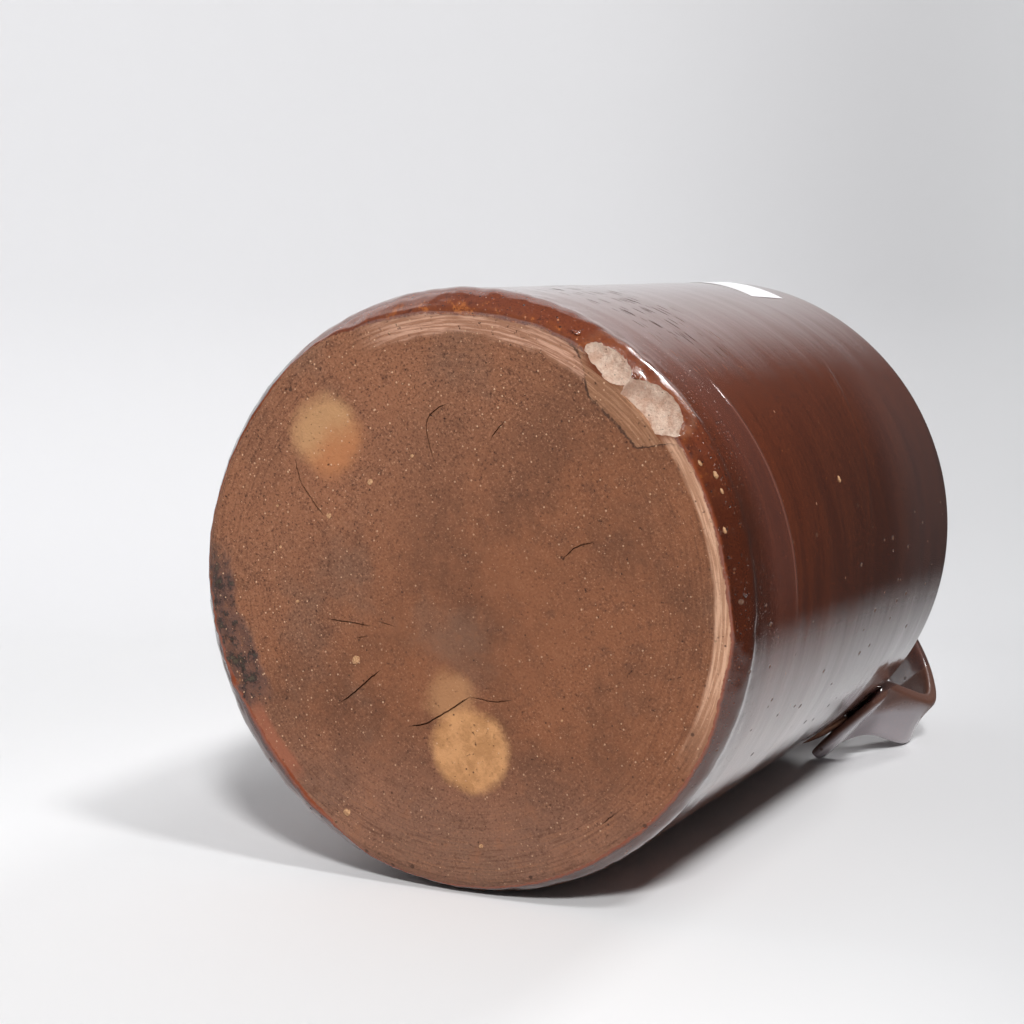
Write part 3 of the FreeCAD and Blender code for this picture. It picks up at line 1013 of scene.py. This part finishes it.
paper = Outline("paper_sweep", 0, 0).piece
bpy.ops.transform.translate(value=(paper_left * MM, paper_near * MM, -floor_below * MM))
extrude((0, (curve_start - paper_near) * MM, 0))
bpy.ops.mesh.spin(steps=24, angle=math.radians(90), axis=(-1, 0, 0),
                  center=(0, curve_start * MM, (curve_radius - floor_below) * MM))
extrude((0, 0, (paper_top - curve_radius) * MM))
bpy.ops.mesh.select_all(action="SELECT")
extrude(((paper_right - paper_left) * MM, 0, 0))
bpy.ops.mesh.select_all(action="SELECT")
bpy.ops.mesh.flip_normals()
bpy.ops.object.mode_set(mode="OBJECT")
paper.matrix_world = Matrix((floor_right, floor_forward, floor_up)).transposed().to_4x4()
bpy.ops.object.transform_apply(location=True, rotation=True)
bpy.ops.object.shade_smooth()

paper_white, paper_start = new_finish("paper white")
paper_place = millimetres(paper_start)
sideways = paper_place.vector("DOT_PRODUCT", paper_place, floor_right)
onward = paper_place.vector("DOT_PRODUCT", paper_place, floor_forward)
# Painted shade: the paper is a little darker on the backdrop and darker again towards the right
paper_tone_and_shade = blend(fade(onward, 480.0, 640.0), seen(236, 236, 237), seen(231, 231, 233))
paper_tone_and_shade = blend(fade(sideways, 40.0, 330.0), paper_tone_and_shade, seen(212, 212, 214))
lit = paper_start.node("BsdfPrincipled", {}, {"Base Color": paper_tone_and_shade, "Roughness": 0.9,
                                              "Specular IOR Level": 0.1})
unseen = paper_start.node("BsdfTransparent")
behind = paper_start.node("NewGeometry", output=6)
gone = fade(sideways - onward * 0.16, 140.0, 425.0)
show(behind.node("MixShader", {}, {0: behind.maths("MAXIMUM", behind, gone), 1: lit, 2: unseen}))
paper.data.materials.append(paper_white)


# Lights: two softboxes behind the camera, one straight back and one higher on the right, a wide
# one far behind the crock on the right, a weak one near it on the left, and the room's own light,
# which is dark low on the right past the paper. The camera sees an even pale wall there instead.

def softbox(name, towards, height, distance, size, watts):
    """Square light that faces the crock: heading right of forward and height in degrees, then metres."""
    flat = math.cos(math.radians(height))
    away = (floor_right * flat * math.sin(math.radians(towards)) + floor_up * math.sin(math.radians(height))
            + floor_forward * flat * math.cos(math.radians(towards)))
    place = crock_middle + away * distance
    bpy.ops.object.light_add(type="AREA", location=place, rotation=away.to_track_quat("Z", "Y").to_euler())
    light = bpy.context.object
    light.name = name
    light.data.shape = "SQUARE"
    light.data.size = size
    light.data.energy = watts


crock_middle = Vector((0, 0, 0.13))
softbox("softbox_behind", 176.0, 40.0, 4.0, 0.5, 104.0)
softbox("softbox_right", 138.0, 54.0, 4.0, 0.5, 56.0)
softbox("far_right", 43.0, 36.0, 4.0, 0.9, 46.0)
softbox("left_fill", -62.0, 42.0, 1.2, 0.8, 1.6)

room = bpy.data.worlds.new("room")
bpy.context.scene.world = room
room.use_nodes = True
room.node_tree.nodes.clear()
room_start = Wire(room.node_tree)
direction = room_start.node("TexCoord")
above = direction.vector("DOT_PRODUCT", direction, floor_up)
rightward = direction.vector("DOT_PRODUCT", direction, floor_right)
glow = fade(above, 0.2, 0.9) * 0.08 + fade(rightward, 0.2, -0.7) * 0.16 + 0.03
dim = direction.node("Background", {}, {"Color": (1.0, 1.0, 1.0, 1.0), "Strength": glow})
plain = direction.node("Background", {}, {"Color": seen(213, 214, 216), "Strength": 1.0})
looking = direction.node("LightPath")
surround = direction.node("MixShader", {}, {0: looking, 1: dim, 2: plain})
surround.node("OutputWorld", inputs={"Surface": surround})
bpy.context.scene.view_settings.view_transform = "Standard"


# Camera: a long lens 23 cm above the floor, in front of the base and looking along the crock.

camera_place = (0.134172, -0.341372, -0.659341)
camera_lens = 73.84
camera_sensor = 36
view_direction = Vector((-0.19410, 0.41040, 0.89101)).normalized()
bpy.ops.object.camera_add()
camera = bpy.context.object
camera.name = "camera"
camera_back = -view_direction
camera_right = floor_up.cross(camera_back).normalized()
camera_turn = Matrix((camera_right, camera_back.cross(camera_right), camera_back)).transposed()
camera.matrix_world = Matrix.Translation(camera_place) @ camera_turn.to_4x4()
camera.data.lens = camera_lens
camera.data.sensor_width = camera_sensor
bpy.context.scene.camera = camera
